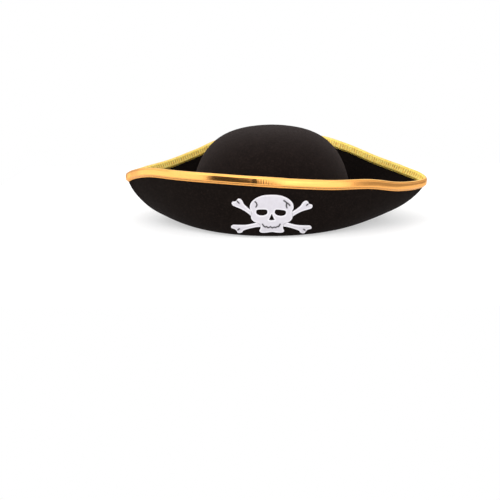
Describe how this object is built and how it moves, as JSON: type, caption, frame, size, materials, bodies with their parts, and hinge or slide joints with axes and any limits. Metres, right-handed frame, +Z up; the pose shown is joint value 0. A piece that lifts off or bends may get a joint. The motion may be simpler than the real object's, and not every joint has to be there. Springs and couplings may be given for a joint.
{
  "type": "pirate hat",
  "caption": "Black felt tricorn costume hat with a round crown, three turned-up flaps, a gold-bound edge and a white skull and crossbones patch.",
  "frame": {"origin": "centre of the head opening, level with the underside of the brim's flat ring", "axes": "+Z up through the crown, -Y towards the front flap with the emblem, +X to the right of someone who looks at the front"},
  "size_m": [0.3181, 0.2938, 0.0965],
  "materials": {
    "crown_felt": "napped felt",
    "brim_felt": "pressed felt",
    "gold_tape": "metallic lame tape",
    "gold_thread": "sewing thread",
    "white_patch": "smooth matt",
    "black_thread": "sewing thread",
    "band_cotton": "ribbed cotton tape",
    "label_satin": "satin ribbon"
  },
  "bodies": {
    "hat": {"crown": "crown_felt", "brim": "brim_felt", "edge_binding": "gold_tape", "binding_needle_thread": "gold_thread", "binding_bobbin_thread": "gold_thread", "emblem": "white_patch", "crown_seam_thread": "black_thread", "sweatband": "band_cotton", "sweatband_thread": "black_thread", "label_thread": "black_thread"},
    "label": {"care_label": "label_satin"}
  },
  "joints": [
    {"name": "label_flip", "type": "hinge", "parent": "hat", "child": "label", "pos_m": [0, 0.09352, 0.025], "axis": [-1, 0, 0], "range_deg": [0, 150]}
  ]
}
